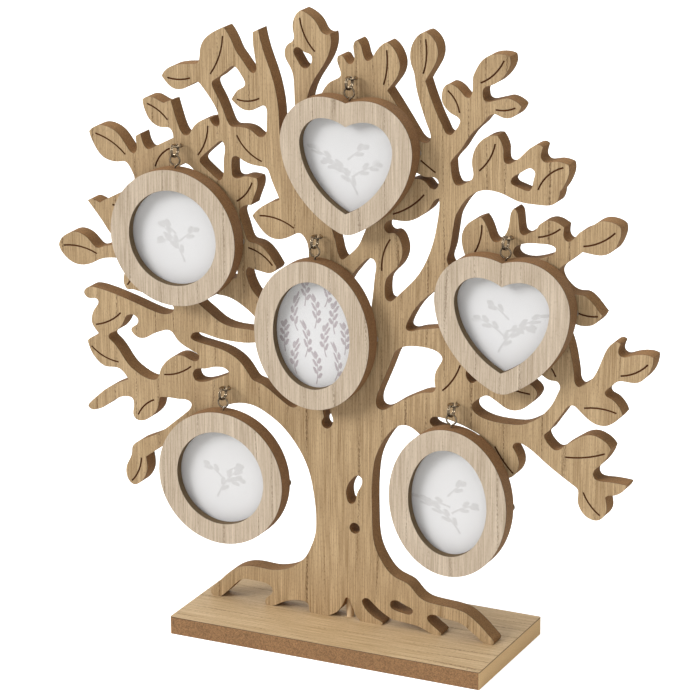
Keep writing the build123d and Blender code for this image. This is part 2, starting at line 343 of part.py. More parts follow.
round_opening_shares = [
    # low left bough and the slit beside it
    [(-38.0, 46.55), (-37.1, 46.4), (-36.65, 45.8), (-36.9, 45.0), (-37.6, 44.5), (-37.9, 44.0),
     (-37.5, 43.3), (-36.6, 42.8), (-35.5, 42.9), (-34.0, 43.8), (-32.5, 44.5), (-31.3, 44.8),
     (-30.6, 44.5), (-30.1, 43.8), (-29.2, 42.9), (-28.0, 42.25), (-26.7, 41.7), (-26.0, 41.2),
     (-26.1, 40.5), (-26.8, 40.15), (-27.8, 40.4), (-29.0, 40.8), (-30.2, 40.6), (-31.4, 39.8),
     (-32.3, 38.8), (-32.9, 37.7), (-33.15, 36.8), (-33.6, 36.1), (-34.5, 35.9),
     (-35.7, 36.15), (-37.2, 36.9), (-38.5, 37.9), (-39.5, 39.2), (-40.4, 40.5), (-41.4, 41.5),
     (-42.0, 42.2), (-41.7, 42.8), (-40.8, 43.3), (-39.9, 44.1), (-39.2, 45.2), (-38.6, 46.3)],
    [(-27.1, 37.6), (-27.0, 38.4), (-26.4, 38.95), (-25.2, 39.1), (-23.8, 39.55), (-22.4, 39.8),
     (-21.3, 39.6), (-20.85, 39.1), (-21.5, 38.5), (-22.9, 37.8), (-24.3, 37.15),
     (-25.6, 36.8), (-26.6, 36.9)],
    # behind the middle frame
    [(-27.4, 44.3), (-26.8, 45.0), (-25.5, 45.15), (-23.0, 44.65), (-20.0, 44.45),
     (-17.5, 44.55), (-14.5, 45.1), (-11.5, 44.8), (-9.6, 43.2), (-8.6, 40.5), (-8.3, 37.6),
     (-8.7, 35.6), (-9.6, 34.8), (-10.8, 35.1), (-12.3, 36.1), (-14.0, 37.3), (-15.6, 38.1),
     (-16.6, 38.4), (-17.4, 39.3), (-18.6, 40.9), (-20.2, 42.1), (-22.0, 42.8), (-24.2, 43.2),
     (-26.2, 43.5), (-27.1, 43.8)],
    [(-27.9, 51.8), (-27.3, 52.7), (-26.0, 52.9), (-24.4, 52.5), (-22.8, 52.0), (-21.3, 51.9),
     (-19.8, 51.5), (-18.3, 50.7), (-17.0, 49.8), (-15.9, 48.8), (-15.2, 47.8), (-15.6, 47.0),
     (-17.0, 46.8), (-19.0, 46.8), (-21.0, 47.0), (-22.6, 47.6), (-24.0, 48.6), (-25.4, 49.6),
     (-26.8, 50.6)],
    # behind the upper left frame
    [(-28.6, 72.6), (-27.6, 73.0), (-26.6, 72.4), (-25.3, 70.8), (-23.6, 68.6), (-22.0, 66.0),
     (-20.8, 62.8), (-19.8, 59.2), (-19.1, 56.3), (-19.2, 55.4), (-20.4, 54.9), (-22.4, 55.4),
     (-24.6, 56.8), (-26.8, 59.0), (-28.8, 61.8), (-30.6, 65.0), (-31.4, 68.2), (-30.9, 70.8),
     (-29.9, 72.2)],
    # upper left
    [(-25.0, 74.4), (-24.2, 75.2), (-23.2, 76.1), (-22.2, 77.0), (-21.5, 77.4), (-21.05, 76.8),
     (-21.1, 75.0), (-21.2, 73.0), (-21.4, 71.5), (-21.9, 70.9), (-22.7, 71.3), (-23.8, 72.2),
     (-24.9, 73.1), (-25.3, 73.7)],
    # under the topmost leaf
    [(-9.2, 93.1), (-8.8, 93.7), (-8.1, 93.6), (-7.5, 93.1), (-6.9, 92.95), (-6.3, 92.6),
     (-6.2, 91.9), (-6.5, 91.1), (-7.2, 90.5), (-7.9, 90.7), (-8.5, 91.5), (-9.0, 92.3)],
    # right of the middle frame
    [(0.3, 58.3), (1.3, 59.6), (2.3, 60.7), (3.0, 61.2), (3.8, 61.2), (4.2, 60.5), (4.1, 58.9),
     (3.9, 57.0), (3.7, 55.2), (3.4, 53.0), (2.6, 51.0), (1.2, 50.0), (-0.3, 50.6),
     (-1.1, 52.6), (-1.2, 55.0), (-0.6, 56.9)],
    [(9.2, 51.1), (9.3, 50.5), (9.9, 50.3), (11.0, 50.65), (12.5, 51.0), (14.3, 51.4),
     (16.5, 51.9), (18.6, 52.8), (20.1, 54.6), (20.2, 56.8), (18.9, 58.6), (16.9, 59.3),
     (15.2, 58.5), (13.8, 57.3), (12.5, 56.2), (11.2, 54.8), (10.2, 53.3), (9.5, 51.9)],
    # behind and above the right-hand frame
    [(19.0, 44.6), (19.3, 43.7), (19.9, 43.25), (20.7, 43.6), (21.9, 44.5), (23.6, 45.0),
     (24.8, 45.8), (24.6, 47.0), (22.8, 47.6), (20.8, 47.2), (19.4, 46.0)],
    [(22.0, 52.5), (24.0, 50.6), (27.0, 49.8), (30.0, 50.4), (32.2, 52.2), (33.0, 54.6),
     (32.6, 57.4), (31.2, 60.0), (28.9, 61.8), (26.2, 62.2), (23.8, 60.6), (22.4, 58.0),
     (21.8, 55.0)],
    [(26.4, 65.3), (26.7, 66.0), (27.6, 66.6), (29.2, 67.0), (31.0, 67.1), (32.4, 67.05),
     (33.1, 66.6), (32.9, 65.9), (31.9, 65.2), (30.4, 64.6), (28.7, 64.2), (27.3, 64.3),
     (26.6, 64.7)],
    # upper right
    [(25.9, 76.4), (26.3, 77.1), (27.2, 77.7), (28.2, 78.4), (29.1, 78.7), (29.65, 78.2),
     (29.5, 77.1), (29.3, 76.0), (28.9, 75.2), (27.9, 75.25), (26.8, 75.6), (26.1, 75.9)],
    # above the lower right frame
    [(13.2, 36.1), (13.6, 36.7), (14.6, 36.85), (16.0, 36.7), (17.6, 36.35), (19.2, 35.85),
     (20.6, 35.3), (21.5, 34.6), (21.0, 33.9), (19.5, 33.9), (17.6, 34.3), (15.8, 34.7),
     (14.3, 35.0), (13.4, 35.4)],
    # knots in the trunk and the slot in the right root
    [(-4.95, 32.9), (-4.6, 32.3), (-4.0, 32.1), (-3.4, 32.5), (-3.05, 33.2), (-3.1, 34.1),
     (-3.4, 34.9), (-3.6, 35.7), (-4.2, 36.0), (-4.7, 35.5), (-4.7, 34.7), (-4.6, 33.9),
     (-4.9, 33.4)],
    [(-0.8, 21.2), (-0.8, 22.3), (-0.4, 23.4), (0.3, 24.4), (1.1, 24.95), (1.75, 24.6),
     (1.85, 23.8), (1.5, 22.9), (1.05, 22.0), (0.85, 21.0), (0.5, 20.2), (-0.1, 19.95),
     (-0.6, 20.4)],
    [(6.6, 3.8), (6.9, 4.5), (7.7, 4.7), (8.7, 4.4), (9.7, 3.95), (10.4, 3.6), (10.4, 3.0),
     (9.8, 2.65), (8.8, 2.7), (7.7, 2.9), (6.9, 3.2)],
]

# Leaf veins, each an arc from the first point through the second to the third
vein_shares = [
    [(-38.4, 17.8), (-37.4, 19.2), (-36.6, 22.1)], [(-37.0, 29.5), (-35.9, 31.2), (-34.1, 32.5)],
    [(-45.1, 40.2), (-43.3, 38.9), (-40.3, 38.1)], [(-44.2, 44.0), (-42.2, 44.7), (-39.7, 46.6)],
    [(-32.2, 37.1), (-30.0, 37.6), (-27.4, 39.2)], [(-49.6, 56.8), (-47.3, 57.0), (-43.7, 56.1)],
    [(-38.4, 51.5), (-37.2, 53.0), (-35.4, 54.3)], [(-40.7, 64.7), (-38.8, 64.3), (-36.5, 62.9)],
    [(-43.4, 76.25), (-41.0, 75.4), (-38.2, 73.3)], [(-34.2, 82.1), (-32.4, 81.3), (-30.7, 79.8)],
    [(-33.0, 71.9), (-32.0, 73.9), (-30.4, 75.2)], [(-25.6, 74.6), (-24.3, 76.9), (-23.8, 79.6)],
    [(-30.6, 86.7), (-29.0, 86.55), (-26.7, 87.0)], [(-23.25, 88.0), (-21.7, 91.0), (-21.05, 94.3)],
    [(-18.8, 84.4), (-17.3, 84.25), (-15.0, 84.95)], [(-18.9, 78.6), (-17.4, 76.5), (-14.7, 74.8)],
    [(-19.1, 67.8), (-17.5, 69.2), (-16.4, 71.2)], [(-15.2, 65.95), (-12.7, 65.9), (-9.4, 64.6)],
    [(-17.2, 60.45), (-15.3, 59.8), (-13.1, 58.0)], [(-8.15, 98.4), (-7.6, 96.2), (-5.7, 93.3)],
    [(6.0, 94.7), (6.1, 92.5), (5.5, 89.2)], [(12.25, 97.0), (12.4, 94.3), (11.9, 91.6)],
    [(15.8, 89.4), (16.9, 88.2), (17.7, 86.1)], [(21.0, 91.1), (23.2, 92.7), (24.65, 94.9)],
    [(23.4, 87.2), (25.2, 87.3), (26.5, 87.8)], [(20.9, 77.4), (22.5, 79.4), (23.4, 81.9)],
    [(30.2, 75.5), (31.8, 78.0), (34.1, 79.4)], [(20.3, 64.4), (21.1, 66.4), (21.4, 68.9)],
    [(30.3, 68.05), (32.2, 68.7), (33.8, 69.8)], [(37.4, 67.5), (40.0, 68.4), (42.3, 70.2)],
    [(36.7, 56.9), (38.5, 56.6), (39.9, 56.75)], [(43.6, 47.8), (45.9, 48.6), (47.8, 50.2)],
    [(38.0, 41.8), (40.5, 42.1), (43.1, 41.7)], [(35.1, 33.4), (38.6, 33.9), (41.4, 34.9)],
    [(38.1, 28.1), (39.2, 26.2), (40.8, 24.7)], [(23.8, 33.4), (25.2, 31.2), (26.8, 29.4)],
    [(15.2, 41.3), (16.9, 43.3), (18.1, 45.9)], [(25.6, 43.4), (27.4, 43.0), (29.4, 42.8)],
    [(32.7, 47.5), (33.1, 46.9), (33.4, 46.2)], [(7.0, 68.9), (9.8, 70.4), (12.1, 72.6)],
    [(11.5, 78.0), (12.6, 77.2), (13.9, 76.3)], [(5.2, 59.5), (5.5, 62.4), (6.6, 64.8)],
]

# Frames: name, shape, and the place of the window's middle in the same shares
frame_shares = {
    "top_left": ("round", -28.5, 61.45),
    "middle": ("oval", -5.0, 48.4),
    "lower_left": ("round", -20.9, 22.1),
    "lower_right": ("oval", 17.55, 24.0),
    "top_heart": ("heart", 0.85, 76.45),
    "right_heart": ("heart", 26.05, 54.15),
}

# Half of a heart window: its notch, the crest of the lobe, the widest place, the place where
# the flank straightens and the tip, in shares of half the window's width and of its height
# above the tip
notch_share = (0, 92.8)
crest_share = (46.0, 100.0)
widest_share = (100.0, 69.0)
flank_share = (80.5, 37.5)
tip_share = (0, 0)

window_widths = {"round": round_window_diameter, "oval": oval_window_width,
                 "heart": heart_window_width}
window_heights = {"round": round_window_diameter, "oval": oval_window_height,
                  "heart": heart_window_height}


def tree_point(across_share, up_share):
    return (across_share / 100 * layout_width, foot_height + up_share / 100 * layout_height)


def upright(depth):
    # a plane that faces the viewer at the given depth; what is extruded from it comes forward
    return Plane.XZ.offset(-depth)


def chain_curve(rows):
    corner = tree_point(*rows[-1][-1])
    for row in rows:
        places = [corner] + [tree_point(*share) for share in row]
        if len(places) == 2:
            Line(*places)
        else:
            Spline(*places)
        corner = places[-1]


def tree_face():
    with BuildSketch(Plane.XY) as face:
        with BuildLine():
            chain_curve(outline_shares)
        make_face()
        for rows in pointed_opening_shares:
            with BuildLine():
                chain_curve(rows)
            make_face(mode=Mode.SUBTRACT)
        for row in round_opening_shares:
            with BuildLine():
                Spline(*[tree_point(*share) for share in row], periodic=True)
            make_face(mode=Mode.SUBTRACT)
        with Locations(tree_point(*knot_hole_share)):
            Circle(knot_hole_diameter / 2, mode=Mode.SUBTRACT)
        # the toes end flat on the foot
        with Locations((0, foot_height)):
            Rectangle(2 * layout_width, layout_height, mode=Mode.INTERSECT,
                      align=(Align.CENTER, Align.MIN))
    return face.sketch


def vein_faces():
    with BuildSketch(Plane.XY) as veins:
        for shares in vein_shares:
            with BuildLine() as vein:
                ThreePointArc(*[tree_point(*share) for share in shares])
            trace(vein.line, line_width=vein_width)
    return veins.sketch


def heart_point(across_share, up_share):
    return (across_share / 200 * heart_window_width, (up_share / 100 - 0.5) * heart_window_height)


def window_face(shape, grow):
    # the window's outline about its own middle, grown by a rim or a ledge
    with BuildSketch(Plane.XY) as face:
        if shape == "heart":
            with BuildLine():
                crest = heart_point(*crest_share)
                TangentArc(crest, heart_point(*notch_share), tangent=(-1, 0))
                lobe = TangentArc(crest, heart_point(*widest_share), tangent=(1, 0))
                flank = TangentArc(lobe @ 1, heart_point(*flank_share), tangent=lobe % 1)
                TangentArc(flank @ 1, heart_point(*tip_share), tangent=flank % 1)
                mirror(about=Plane.YZ)
            make_face()
            if grow > 0:
                offset(amount=grow, kind=Kind.ARC)
        else:
            Ellipse(window_widths[shape] / 2 + grow, window_heights[shape] / 2 + grow)
    return face.sketch


def frame_top(shape):
    # height of the frame's top edge above its window's middle, on the frame's centre line
    if shape == "heart":
        corners = window_face(shape, frame_rim).faces()[0].outer_wire().vertices()
        return max(corner.Y for corner in corners if abs(corner.X) < rebate_clearance)
    return window_heights[shape] / 2 + frame_rim


def widest_height(shape):
    # height of the frame's widest place above its window's middle
    if shape == "heart":
        return heart_point(*widest_share)[1]
    return 0


def screw_eye(stem, shank_length):
    # an open loop on a straight shank; the loop's middle is the origin, the shank points down
    bend_radius = stem + stem ** 2 / (2 * eye_radius)
    joint_reach = eye_radius / (eye_radius + bend_radius)
    joint = Vector(bend_radius * joint_reach, -(eye_radius + stem) * joint_reach)
    with BuildPart() as eye:
        with BuildLine(Plane.XZ):
            shank = Line((0, -eye_radius - stem - shank_length), (0, -eye_radius - stem))
            TangentArc(shank @ 1, (joint.X, joint.Y), tangent=shank % 1)
            start = -joint.get_angle(Vector(1, 0))
            CenterArc((0, 0), eye_radius, start, 360 - eye_opening_degrees)
        with BuildSketch(Plane(shank @ 0, z_dir=shank % 0)):
            Circle(eye_wire / 2)
        sweep()
    return eye.part


def split_ring():
    # a coil about the X axis whose doubled part is centred on its lowest point
    with BuildPart() as ring:
        with BuildLine():
            coil = Helix(ring_pitch, ring_pitch * ring_turns, ring_radius)
        with BuildSketch(Plane(coil @ 0, z_dir=coil % 0)):
            Circle(ring_wire / 2)
        sweep(is_frenet=True)
    lowest = 180 * (ring_turns - 1)
    centred = Pos(0, 0, -ring_pitch * ring_turns / 2) * ring.part
    return Rot(0, 90, 0) * Rot(0, 0, -lowest) * centred


def save(solid, name):
    solid.label = name
    export_step(solid, "parts/" + name + ".step")


os.makedirs("parts", exist_ok=True)

frame_places = {name: tree_point(across, up) for name, (shape, across, up) in frame_shares.items()}
eye_places = [(frame_places[name][0],
               frame_places[name][1] + frame_top(frame_shares[name][0]) + tree_eye_rise)
              for name in frame_shares]
dowel_place = (tree_point(dowel_share, 0)[0], 0)
base_screw_places = [(tree_point(share, 0)[0], 0) for share in base_screw_shares]

# Foot: a board with a veneered top, a blind hole for the dowel and countersunk screw holes
with BuildPart() as foot:
    Box(foot_width, foot_depth, foot_board_thickness, align=(Align.CENTER, Align.CENTER, Align.MIN))
    fillet(foot.edges().filter_by(Axis.Z), foot_corner_radius)
    with Locations((*dowel_place, foot_height - dowel_depth_in_foot)):
        Cylinder(dowel_diameter / 2, dowel_depth_in_foot, mode=Mode.SUBTRACT,
                 align=(Align.CENTER, Align.CENTER, Align.MIN))
    with Locations(*[(*place, 0) for place in base_screw_places]):
        Cylinder(base_screw_diameter / 2, foot_board_thickness, mode=Mode.SUBTRACT,
                 align=(Align.CENTER, Align.CENTER, Align.MIN))
        Cone(base_screw_head_diameter / 2, base_screw_diameter / 2, base_screw_head_height,
             mode=Mode.SUBTRACT, align=(Align.CENTER, Align.CENTER, Align.MIN))
save(foot.part, "foot_board")

with BuildPart() as foot_veneer:
    with BuildSketch(Plane.XY.offset(foot_board_thickness)):
        RectangleRounded(foot_width, foot_depth, foot_corner_radius)
        with Locations(dowel_place):
            Circle(dowel_diameter / 2, mode=Mode.SUBTRACT)
        with Locations(*base_screw_places):
            Circle(base_screw_diameter / 2, mode=Mode.SUBTRACT)
    extrude(amount=veneer_thickness)
save(foot_veneer.part, "foot_veneer")

with BuildPart() as dowel:
    with Locations((*dowel_place, foot_height - dowel_depth_in_foot)):
        Cylinder(dowel_diameter / 2, dowel_length, align=(Align.CENTER, Align.CENTER, Align.MIN))
    chamfer(dowel.edges().group_by(Axis.Z)[0], dowel_end_chamfer)
    chamfer(dowel.edges().group_by(Axis.Z)[-1], dowel_end_chamfer)
save(dowel.part, "trunk_dowel")

with BuildPart() as base_screws:
    with Locations(*[(*place, 0) for place in base_screw_places]):
        Cone(base_screw_head_diameter / 2, base_screw_diameter / 2, base_screw_head_height,
             align=(Align.CENTER, Align.CENTER, Align.MIN))
        Cylinder(base_screw_diameter / 2, base_screw_length,
                 align=(Align.CENTER, Align.CENTER, Align.MIN))
        Box(base_screw_slot_length, base_screw_slot_width, base_screw_slot_depth,
            mode=Mode.SUBTRACT, align=(Align.CENTER, Align.CENTER, Align.MIN))
        Box(base_screw_slot_width, base_screw_slot_length, base_screw_slot_depth,
            mode=Mode.SUBTRACT, align=(Align.CENTER, Align.CENTER, Align.MIN))
save(base_screws.part, "base_screws")

# Tree: a board between two veneers, the front one cut through along the leaf veins
outline = tree_face()
with BuildPart() as tree_board:
    with BuildSketch(upright(tree_back - veneer_thickness)):
        add(outline)
    extrude(amount=tree_board_thickness)
    with Locations((*dowel_place, foot_height - dowel_depth_in_foot)):
        Cylinder(dowel_diameter / 2, dowel_length, mode=Mode.SUBTRACT,
                 align=(Align.CENTER, Align.CENTER, Align.MIN))
    with Locations(*[(*place, 0) for place in base_screw_places]):
        Cylinder(base_screw_diameter / 2, base_screw_length, mode=Mode.SUBTRACT,
                 align=(Align.CENTER, Align.CENTER, Align.MIN))
    with BuildSketch(upright(tree_front + eye_shank_in_tree)):
        with Locations(*eye_places):
            Circle(eye_wire / 2)
    extrude(amount=eye_shank_in_tree, mode=Mode.SUBTRACT)
save(tree_board.part, "tree_board")

with BuildPart() as tree_front_veneer:
    with BuildSketch(upright(tree_front + veneer_thickness)):
        add(outline)
        add(vein_faces(), mode=Mode.SUBTRACT)
        with Locations(*eye_places):
            Circle(eye_wire / 2, mode=Mode.SUBTRACT)
    extrude(amount=veneer_thickness)
save(tree_front_veneer.part, "tree_front_veneer")

with BuildPart() as tree_back_veneer:
    with BuildSketch(upright(tree_back)):
        add(outline)
    extrude(amount=veneer_thickness)
save(tree_back_veneer.part, "tree_back_veneer")

tree_eye = Rot(90, 0, 0) * screw_eye(tree_eye_stem, eye_shank_in_tree)
with BuildPart() as tree_eyes:
    with Locations(*[(across, tree_front - tree_eye_stem - eye_radius, up)
                     for across, up in eye_places]):
        add(tree_eye)
save(tree_eyes.part, "tree_eyes")

# Six frames, each with its veneer, window, card, backing board, button, fittings and ring
frame_eye = screw_eye(frame_eye_stem, eye_shank_in_frame)
ring_shape = split_ring()
for name, (shape, across_share, up_share) in frame_shares.items():
    across, up = frame_places[name]
    top = up + frame_top(shape)
    half_window = window_widths[shape] / 2
    outer = window_face(shape, frame_rim)
    rebate = window_face(shape, rebate_ledge)
    insert = window_face(shape, rebate_ledge - rebate_clearance)
    window = window_face(shape, 0)
    button_place = (across + half_window + frame_rim - band_middle, up + widest_height(shape))
    tongue_place = (across - half_window - rebate_ledge, backing_middle, up + widest_height(shape))

    with BuildPart() as frame_board:
        with BuildSketch(upright(frame_back)):
            with Locations((across, up)):
                add(outer)
                add(rebate, mode=Mode.SUBTRACT)
        extrude(amount=rebate_depth)
        with BuildSketch(upright(rebate_floor)):
            with Locations((across, up)):
                add(outer)
                add(window, mode=Mode.SUBTRACT)
        extrude(amount=rebate_floor - board_front)
        with Locations((across, frame_middle, top - eye_shank_in_frame)):
            Cylinder(eye_wire / 2, eye_shank_in_frame + overrun, mode=Mode.SUBTRACT,
                     align=(Align.CENTER, Align.CENTER, Align.MIN))
        with BuildSketch(upright(frame_back)):
            with Locations(button_place):
                Circle(button_screw_diameter / 2)
        extrude(amount=button_screw_length, mode=Mode.SUBTRACT)
        with Locations(tongue_place):
            Box(2 * (tongue_reach + tongue_clearance), tongue_thickness + 2 * tongue_clearance,
                tongue_width + 2 * tongue_clearance, mode=Mode.SUBTRACT)
    save(frame_board.part, name + "_frame")

    with BuildPart() as frame_veneer:
        with BuildSketch(upright(board_front)):
            with Locations((across, up)):
                add(outer)
                add(window, mode=Mode.SUBTRACT)
        extrude(amount=veneer_thickness)
    save(frame_veneer.part, name + "_veneer")

    with BuildPart() as glazing:
        with BuildSketch(upright(glazing_back)):
            with Locations((across, up)):
                add(insert)
        extrude(amount=glazing_thickness)
    save(glazing.part, name + "_glazing")

    with BuildPart() as card:
        with BuildSketch(upright(backing_front)):
            with Locations((across, up)):
                add(insert)
        extrude(amount=card_thickness)
    save(card.part, name + "_card")

    with BuildPart() as backing:
        with BuildSketch(upright(frame_back)):
            with Locations((across, up)):
                add(insert)
        extrude(amount=backing_thickness)
        with Locations(tongue_place):
            Box(2 * tongue_reach, tongue_thickness, tongue_width)
    save(backing.part, name + "_backing")

    with BuildPart() as button:
        with BuildSketch(upright(frame_back + button_standoff + button_thickness)):
            with Locations((button_place[0] + (button_outer_reach - button_inner_reach) / 2,
                            button_place[1])):
                SlotOverall(button_length, button_width)
            with Locations(button_place):
                Circle(button_screw_diameter / 2 + button_hole_clearance, mode=Mode.SUBTRACT)
        extrude(amount=button_thickness)
    save(button.part, name + "_button")

    head_back = frame_back + button_standoff + button_thickness + screw_head_gap + screw_head_height
    with BuildPart() as fittings:
        with BuildSketch(upright(head_back)):
            with Locations(button_place):
                Circle(screw_head_diameter / 2)
        extrude(amount=screw_head_height)
        chamfer(fittings.edges().group_by(Axis.Y)[-1], screw_head_bevel)
        with Locations((button_place[0], head_back, button_place[1])):
            Box(2 * screw_head_diameter, 2 * screw_slot_depth, screw_slot_width, mode=Mode.SUBTRACT)
        with BuildSketch(upright(head_back - screw_head_height)):
            with Locations(button_place):
                Circle(button_screw_diameter / 2)
        extrude(amount=head_back - screw_head_height - frame_back + button_screw_length)
        with Locations((across, frame_middle, top + frame_eye_rise)):
            add(frame_eye)
    save(fittings.part, name + "_fittings")

    with BuildPart() as ring:
        with Locations((across, frame_middle, top + ring_rise)):
            add(ring_shape)
    save(ring.part, name + "_ring")
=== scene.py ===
import math

import bpy
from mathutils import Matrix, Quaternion, Vector


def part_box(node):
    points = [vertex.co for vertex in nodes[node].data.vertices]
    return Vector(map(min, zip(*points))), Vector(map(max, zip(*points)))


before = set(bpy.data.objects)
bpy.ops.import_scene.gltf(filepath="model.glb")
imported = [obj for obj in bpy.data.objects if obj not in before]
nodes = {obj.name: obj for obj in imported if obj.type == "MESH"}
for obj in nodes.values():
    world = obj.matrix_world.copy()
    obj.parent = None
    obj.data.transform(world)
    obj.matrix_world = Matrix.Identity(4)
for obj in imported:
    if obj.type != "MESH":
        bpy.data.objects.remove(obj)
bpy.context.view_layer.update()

MM = 0.001
NAMES = ("top_left", "middle", "lower_left", "lower_right", "top_heart", "right_heart")


def tone(colour, factor=1.0):
    # a screen colour, 0 to 255 in each part, made darker or lighter, as a shader colour
    parts = [min(part * factor, 255) / 255 for part in colour]
    return (*[part / 12.92 if part < 0.04 else ((part + 0.055) / 1.055) ** 2.4 for part in parts], 1)


class Figure:
    """A number that varies over a surface."""

    def __init__(self, recipe, socket):
        self.recipe = recipe
        self.socket = socket

    def maths(self, operation, *others, clamp=False):
        values = dict(enumerate((self, *others)))
        return self.recipe.node("ShaderNodeMath", {"operation": operation, "use_clamp": clamp}, values)

    def __add__(self, other):
        return self.maths("ADD", other)

    def __sub__(self, other):
        return self.maths("SUBTRACT", other)

    def __rsub__(self, other):
        return (self * -1).maths("ADD", other)

    def __mul__(self, other):
        return self.maths("MULTIPLY", other)

    def __truediv__(self, other):
        return self.maths("DIVIDE", other)

    def __abs__(self):
        return self.maths("ABSOLUTE")

    __radd__ = __add__
    __rmul__ = __mul__

    def over(self, edge, blur):
        # 0 below the edge and 1 above it, with a soft step between
        return ((self - edge) / blur).maths("ADD", 0.5, clamp=True)

    def most(self, other):
        return self.maths("MAXIMUM", other)


class Recipe:
    """The nodes of one material or of the surroundings."""

    def __init__(self, tree):
        self.tree = tree
        tree.nodes.clear()

    def node(self, kind, settings, values, output=0):
        made = self.tree.nodes.new(kind)
        for name, setting in settings.items():
            setattr(made, name, setting)
        for place, value in values.items():
            if isinstance(value, Figure):
                self.tree.links.new(value.socket, made.inputs[place])
            else:
                made.inputs[place].default_value = value
        return Figure(self, made.outputs[output])

    def parts(self, output):
        spot = self.node("ShaderNodeTexCoord", {}, {}, output)
        return [self.node("ShaderNodeSeparateXYZ", {}, {0: spot}, axis) for axis in range(3)]

    def place(self):
        return self.parts("Object")

    def facing(self):
        # which way the surface faces, as its piece stands at rest
        return self.parts("Normal")

    def noise(self, x, y, z, detail=2.0, roughness=0.5):
        spot = self.node("ShaderNodeCombineXYZ", {}, {0: x, 1: y, 2: z})
        return self.node("ShaderNodeTexNoise", {},
                         {"Vector": spot, "Scale": 1.0, "Detail": detail, "Roughness": roughness})

    def even_noise(self, place, rate, detail=2.0, roughness=0.5):
        return self.noise(*[part * rate for part in place], detail, roughness)

    def mix(self, factor, first, second):
        return self.node("ShaderNodeMix", {"data_type": "RGBA"}, {0: factor, 6: first, 7: second}, 2)

    def rounded(self, radius):
        # the direction of the surface with its arrises rounded over
        return self.node("ShaderNodeBevel", {"samples": BEVEL_SAMPLES}, {"Radius": radius})

    def arris(self, rounded):
        # 0 on a flat and 1 on an arris
        flat = self.node("ShaderNodeNewGeometry", {}, {}, "True Normal")
        agree = self.node("ShaderNodeVectorMath", {"operation": "DOT_PRODUCT"}, {0: rounded, 1: flat}, 1)
        return (1 - agree).maths("MULTIPLY", ARRIS_GAIN, clamp=True)

    def bump(self, height, distance, strength, normal=None):
        values = {"Height": height, "Distance": distance, "Strength": strength}
        if normal is not None:
            values["Normal"] = normal
        return self.node("ShaderNodeBump", {}, values)

    def finish(self, shader, kind="ShaderNodeOutputMaterial"):
        self.tree.links.new(shader.socket, self.tree.nodes.new(kind).inputs["Surface"])

    def surface(self, values):
        self.finish(self.node("ShaderNodeBsdfPrincipled", {}, values))


def new_finish(name):
    material = bpy.data.materials.new(name)
    material.use_nodes = True
    return material, Recipe(material.node_tree)


# Arrises
BEVEL_SAMPLES = 6
ARRIS_GAIN = 6.0
VENEER_ARRIS = 0.45 * MM
BOARD_ARRIS = 0.5 * MM

# Rates of the patterns, in repeats per metre; pairs are across and along the grain
SWAY_RATE = (11, 3)
BAND_RATE = (120, 3)
LINE_RATE = (1250, 26)
TICK_RATE = (1900, 480)
DRIFT_RATE = (26, 1.6)
FADE_RATE = (40, 14)
PORE_ROW_RATE = 62
SPECK_RATE = 1400
CLOUD_RATE = 45
CHIP_RATE = 520
RUB_AND_HIGHLIGHT_RATE = 120
MATTED_RATE = (900, 260)
CROSSED_RATE = (280, 950)
SWIRL_RATE = 60
FLECK_RATE = (1300, 220)
BEECH_RATE = (500, 12)
STAIN_RATE = 700
GRIT_RATE = 4200
PAPER_FIBRE_RATE = 1800
PAPER_CLOUD_RATE = 30
SMEAR_RATE = (90, 90, 55)
SCRATCH_RATE = (3000, 200, 120)

# How far the grain sways and the fibres swirl, in metres
SWAY_REACH = 0.012
SWIRL_REACH = 0.012

# Pore rows: how far they drift, in rows, and how slim they are
ROW_DRIFT = 3
ROW_SLIMNESS = 16

# Edge and blur of the mask for the faces that look along one axis
SQUARE_ON = (0.55, 0.10)

# Colours of the cut rim of a thin veneer, as shares of the board's edge
RIM_LOW, RIM_HIGH, RIM_CLOUD = 0.62, 0.82, 0.60

# Edge and blur, in metres, of the mask for the painted shade on the walls that look towards a frame's
# middle
WALL_MASK = (0.010, 0.008)


def veneer_figure(recipe, across, along, offset):
    # straight grain: broad bands, fine lines and short dark pores in rows where a ring is cut
    def grain(lane, rate, seed, *detail):
        return recipe.noise(lane * rate[0], along * rate[1], offset + seed, *detail)

    lane = across + (grain(across, SWAY_RATE, 0) - 0.5) * SWAY_REACH
    bands = grain(lane, BAND_RATE, 3, 3.0)
    lines = grain(lane, LINE_RATE, 7, 3.0, 0.65)
    ticks = grain(lane, TICK_RATE, 11, 2.0, 0.6)
    drift = grain(lane, DRIFT_RATE, 17, 1.0)
    fade = grain(lane, FADE_RATE, 23, 2.0).over(0.47, 0.20)
    beat = (lane * PORE_ROW_RATE + drift * ROW_DRIFT).maths("FRACT")
    rows = (1 - abs(beat - 0.5) * ROW_SLIMNESS).maths("ADD", 0, clamp=True) * fade
    pores = ticks.over(0.60 - rows * 0.12, 0.10) * (0.30 + rows * 0.70)
    return bands, lines, pores, rows


def window_wall(place, facing, name):
    # 1 on the walls that look towards the middle of a frame, where painted shade goes, 0 on those that
    # look away from it
    low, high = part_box(name + "_card")
    middle = (low + high) / 2
    outward = facing[0] * (place[0] - middle.x) + facing[2] * (place[2] - middle.z)
    return (outward * -1).over(*WALL_MASK)


def board_speckle(recipe, place):
    # pressed wood fibre: fine light and dark specks over a faint cloud
    return recipe.even_noise(place, SPECK_RATE, 3.0, 0.65), recipe.even_noise(place, CLOUD_RATE)


